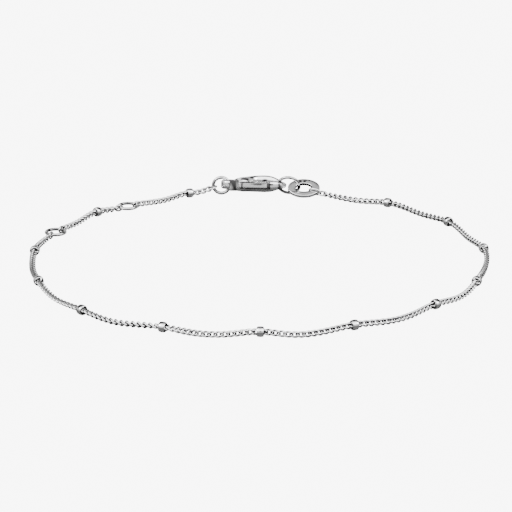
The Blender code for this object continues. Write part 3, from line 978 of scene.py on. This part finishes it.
# %% Place the curb links
inside_end_link = END_LINK_HALF_LENGTH - END_LINK_WIRE / 2 - CURB_WIRE / 2 - WIRE_GAP
first_offset = inside_end_link + CURB_HALF_LENGTH
for number, ((first, last), rolls) in enumerate(zip(strands, ROLLS), start=1):
    start = nearest(first @ Vector((first_offset, 0, 0)))
    end = nearest(last @ Vector((first_offset, 0, 0)))
    steps = round((end - start) / CURB_PITCH)
    bm = bmesh.new()
    for step in range(steps + 1):
        share = step / steps
        travel = start + (end - start) * share
        roll = np.interp(share * (len(rolls) - 1), range(len(rolls)), rolls)
        place = along(at(travel), heading_at(travel), UP)
        add_copy(bm, template, place @ Matrix.Rotation(math.radians(roll), 4, "X"))
    add_piece(
        f"curb_chain_{number}", bm, chain_silver, "bracelet", [f"chain_{number}"],
        sharp=math.pi,
    )
    pitch = (end - start) / steps
    print("stretch", number, "has", steps + 1, "links, pitch", round(pitch, 3), "mm")
bpy.data.meshes.remove(template)

# %% [markdown]
# ## The clasp
# A claw clasp is cast in two parts: a body that is an eye, a fork and a hook in one, and a
# lever that turns on a rivet in the fork and closes the hook. The body is lofted through a
# short table of sections and smoothed, then the eye is joined to it and the slot and the
# holes are cut, as the founder and the bench jeweller do. The hollow of the hook is painted
# dark, as painted shade, with a painted grey on the far arm's top and a painted shadow on the
# nose.

# %% The clasp's own frame
CLASP_MIDDLE = Vector((-0.2, 26.3, 1.52))
CLASP_ROLL = math.radians(-12)
CLASP_PITCH = math.radians(1.0)
clasp_turn = Matrix.Rotation(CLASP_PITCH, 3, "Y") @ Matrix.Rotation(CLASP_ROLL, 3, "X")
clasp_place = Matrix.Translation(CLASP_MIDDLE) @ clasp_turn.to_4x4()

HOOK_STATIONS = [
    # x, y, width, thickness of the hook along its middle line, from the eye to the nose
    (-2.9, 0.00, 1.50, 1.20),
    (-2.4, -0.05, 2.10, 1.70),
    (-1.8, 0.00, 2.40, 1.95),
    (-1.1, 0.50, 1.80, 2.05),
    (-0.3, 1.12, 1.20, 2.20),
    (0.7, 1.50, 1.04, 2.30),
    (1.8, 1.52, 1.00, 2.30),
    (2.8, 1.26, 0.92, 1.85),
    (3.60, 0.78, 0.72, 1.00),
    (4.06, 0.00, 0.62, 0.64),
    (3.86, -0.80, 0.64, 0.76),
    (3.2, -1.32, 0.72, 1.10),
    (2.6, -1.50, 0.74, 1.20),
    (2.0, -1.60, 0.56, 1.15),
]
STATION_SPACING = 0.12
hook_stations = smooth_route(HOOK_STATIONS, STATION_SPACING)
print("hook sections after smoothing:", len(hook_stations))

# %% Where the hook gets painted shade
# all in the clasp's own frame: x to the nose, y away from the lever, z up
MOUTH_X = (-1.2, 3.4)
MOUTH_Y = (-0.2, 1.42)
MOUTH_FLOOR = (-0.3, 0.12)
MOUTH_LINE = (0.40, 0.52)
# painted grey on the top of the far arm, and a painted shadow band across the nose
ARM_TOP = 0.95
ARM_TOP_DARK = 0.4
NOSE_X = (3.15, 3.6)
NOSE_DARK = 0.9


def hook_painted_shade(place):
    """Painted shade: dark in the mouth, in a line along it and at the ring's seat on the nose;
    painted grey on top.
    """
    if NOSE_X[0] < place.x < NOSE_X[1] and place.y < 0:
        return NOSE_DARK
    if place.z > ARM_TOP and place.y > 0 and place.x > MOUTH_X[0]:
        return ARM_TOP_DARK
    if not MOUTH_X[0] < place.x < MOUTH_X[1] or not MOUTH_Y[0] < place.y < MOUTH_Y[1]:
        return 0
    in_floor = MOUTH_FLOOR[0] < place.z < MOUTH_FLOOR[1]
    on_line = MOUTH_LINE[0] < place.z < MOUTH_LINE[1]
    return 1 if in_floor or on_line else 0


print("the mouth's middle is dark by", hook_painted_shade(Vector((1, 1, 0))))

# %% Loft the hook
SECTION_SIDES = 60
SECTION_POWER = 0.75


def hook_section(bm, station, heading):
    """A circle turned across the hook and pulled to a rounded oblong."""
    x, y, width, thickness = station
    ring = bmesh.ops.create_circle(bm, segments=SECTION_SIDES, radius=1)["verts"]
    across = Vector((-heading.y, heading.x, 0))
    for vert in ring:
        side = math.copysign(abs(vert.co.x) ** SECTION_POWER, vert.co.x)
        rise = math.copysign(abs(vert.co.y) ** SECTION_POWER, vert.co.y)
        vert.co = Vector((x, y, 0)) + across * width / 2 * side + UP * thickness / 2 * rise
    return list({edge for vert in ring for edge in vert.link_edges})


def hook_loft():
    """The sections joined by bridges, with both ends closed."""
    middles = [Vector((x, y, 0)) for x, y, width, thickness in hook_stations]
    bm = bmesh.new()
    rings = []
    for i, station in enumerate(hook_stations):
        ahead = middles[min(i + 1, len(middles) - 1)]
        behind = middles[max(i - 1, 0)]
        rings.append(hook_section(bm, station, (ahead - behind).normalized()))
    for near, far in zip(rings, rings[1:]):
        bmesh.ops.bridge_loops(bm, edges=near + far)
    for ring in (rings[0], rings[-1]):
        bmesh.ops.contextual_create(bm, geom=ring)
    paint_shade(bm, hook_painted_shade)
    return bm


print("each hook section has", SECTION_SIDES, "sides")

# %% Helpers for a rounded plate and a disc
DISC_SIDES = 40


def plate(outline, thickness, edge_round):
    """An outline in XY raised to a thickness about z = 0, with its long edges rounded."""
    bm = bmesh.new()
    base = bm.faces.new([bm.verts.new((x, y, -thickness / 2)) for x, y in outline])
    raised = bmesh.ops.extrude_face_region(bm, geom=[base])
    top = [item for item in raised["geom"] if isinstance(item, bmesh.types.BMVert)]
    bmesh.ops.translate(bm, verts=top, vec=(0, 0, thickness))
    if edge_round:
        rims = [
            edge for edge in bm.edges
            if abs(edge.verts[0].co.z - edge.verts[1].co.z) < thickness / 2
        ]
        bmesh.ops.bevel(
            bm, geom=rims, offset=edge_round, segments=EDGE_SEGMENTS,
            profile=0.5, affect="EDGES", material=-1,
        )
    return bm


def disc(middle, radius, thickness, edge_round):
    """A round plate: a circle is the outline."""
    x, y = middle
    turns = [math.tau * side / DISC_SIDES for side in range(DISC_SIDES)]
    outline = [(x + radius * math.cos(turn), y + radius * math.sin(turn)) for turn in turns]
    return plate(outline, thickness, edge_round)


print("discs have", DISC_SIDES, "sides")

# %% Cast the clasp's body
EYE_MIDDLE = (-3.5, 0.0)
EYE_RADIUS = 1.1
EYE_HOLE_RADIUS = 0.54
EYE_THICKNESS = 1.25
EYE_EDGE_ROUND = 0.34
PIVOT = (-2.1, -0.70)
RIVET_RADIUS = 0.28
RIVET_CLEARANCE = 0.04
LEVER_SLOT = 1.04
SLOT_OUTLINE = [(-2.84, -2.6), (-0.6, -2.6), (-0.6, 0.02), (-2.84, 0.02)]
CUT_HEIGHT = 4

hook = placed(hook_loft(), clasp_place)
body = add_piece("cast_clasp_body", hook, clasp_silver, "bracelet", ["clasp_body"])
eye = disc(EYE_MIDDLE, EYE_RADIUS, EYE_THICKNESS, EYE_EDGE_ROUND)
boolean(body, as_tool(eye, "eye", clasp_place), "UNION")
eye_hole = disc(EYE_MIDDLE, EYE_HOLE_RADIUS, CUT_HEIGHT, 0)
boolean(body, as_tool(eye_hole, "eye_hole", clasp_place), "DIFFERENCE")
slot = plate(SLOT_OUTLINE, LEVER_SLOT, 0)
boolean(body, as_tool(slot, "slot", clasp_place), "DIFFERENCE")
bore = disc(PIVOT, RIVET_RADIUS + RIVET_CLEARANCE, CUT_HEIGHT, 0)
boolean(body, as_tool(bore, "rivet_hole", clasp_place), "DIFFERENCE")
shade(body.data)
print("clasp body faces:", len(body.data.polygons))

# %% [markdown]
# ## The lever
# The lever is a flat stamped arm with a round knuckle and a bent thumb tab. It is the only
# piece that moves: it turns about the rivet, so it rides on its own body. Its rounded edges,
# its tip and a line at the grip's root are painted dark, as painted shade, where the photograph
# shows thin dark lines; its flats get a painted grey. A groove would be the other way, but it
# would be less than a tenth of a millimetre.

# %% The outlines of the lever
LEVER_THICKNESS = 0.90
TAB_THICKNESS = 1.5
LEVER_ARM = [
    # x, y round the arm, from its root beside the knuckle along the outer side to the tip and back
    (-2.62, -0.98),
    (-2.66, -1.60),
    (-2.00, -1.70),
    (-1.90, -1.71),
    (-1.80, -1.72),
    (-1.66, -1.734),
    (-1.56, -1.744),
    (-1.40, -1.76),
    (-0.60, -1.88),
    (0.40, -1.95),
    (1.20, -1.92),
    (1.60, -1.872),
    (1.70, -1.86),
    (1.70, -1.30),
    (2.22, -1.24),
    (2.20, -1.00),
    (1.20, -1.12),
    (0.20, -1.16),
    (-0.70, -1.06),
    (-1.56, -0.54),
    (-2.06, -0.42),
]
TAB_OUTLINE = [
    # x, y round the thumb tab, which leans back towards the eye
    (-2.08, -1.48),
    (-2.16, -1.80),
    (-2.60, -2.02),
    (-3.30, -2.08),
    (-3.42, -1.88),
    (-2.90, -1.74),
    (-2.58, -1.48),
]

print("outline points:", len(LEVER_ARM), "for the arm,", len(TAB_OUTLINE), "for the tab")

# %% Where the lever gets painted shade
LEVER_EDGE_ROUND = 0.18
EDGE_DARK_REACH = 0.7 * LEVER_EDGE_ROUND
FLAT_REACH = 0.001
FLAT_DARK = 0.45
GRIP_LINE_X = -1.73
GRIP_LINE_HALF_WIDTH = 0.09
GRIP_LINE_Y = -1.5
TIP_START = 1.66
LINE_DARK = 0.9


def lever_painted_shade(place):
    """Painted shade: dark along the rounded edges, at the grip's root and at the tip; painted grey
    on the flats.
    """
    below_flat = LEVER_THICKNESS / 2 - abs(place.z)
    on_line = abs(place.x - GRIP_LINE_X) < GRIP_LINE_HALF_WIDTH and place.y < GRIP_LINE_Y
    if on_line or place.x > TIP_START:
        return LINE_DARK
    if below_flat < FLAT_REACH:
        return FLAT_DARK
    return 1 if below_flat < EDGE_DARK_REACH else 0


print("the lever's edge is dark to", round(EDGE_DARK_REACH, 3), "mm below its flat")

# %% Lever and rivet
KNUCKLE_RADIUS = 0.62
KNUCKLE_THICKNESS = 0.96
KNUCKLE_EDGE_ROUND = 0.06
TAB_EDGE_ROUND = 0.08
RIVET_EDGE_ROUND = 0.08
RIVET_HEIGHT = 1.72

arm = plate(LEVER_ARM, LEVER_THICKNESS, LEVER_EDGE_ROUND)
paint_shade(arm, lever_painted_shade)
placed(arm, clasp_place)
lever = add_piece("clasp_lever_arm", arm, clasp_silver, "lever", ["clasp_lever"])
knuckle = disc(PIVOT, KNUCKLE_RADIUS, KNUCKLE_THICKNESS, KNUCKLE_EDGE_ROUND)
boolean(lever, as_tool(knuckle, "knuckle", clasp_place), "UNION")
tab = plate(TAB_OUTLINE, TAB_THICKNESS, TAB_EDGE_ROUND)
boolean(lever, as_tool(tab, "tab", clasp_place), "UNION")
bore = disc(PIVOT, RIVET_RADIUS + RIVET_CLEARANCE, CUT_HEIGHT, 0)
boolean(lever, as_tool(bore, "lever_bore", clasp_place), "DIFFERENCE")
shade(lever.data)

rivet = placed(disc(PIVOT, RIVET_RADIUS, RIVET_HEIGHT, RIVET_EDGE_ROUND), clasp_place)
add_piece("domed_rivet", rivet, clasp_silver, "bracelet", ["clasp_rivet"])
print("lever faces:", len(lever.data.polygons))
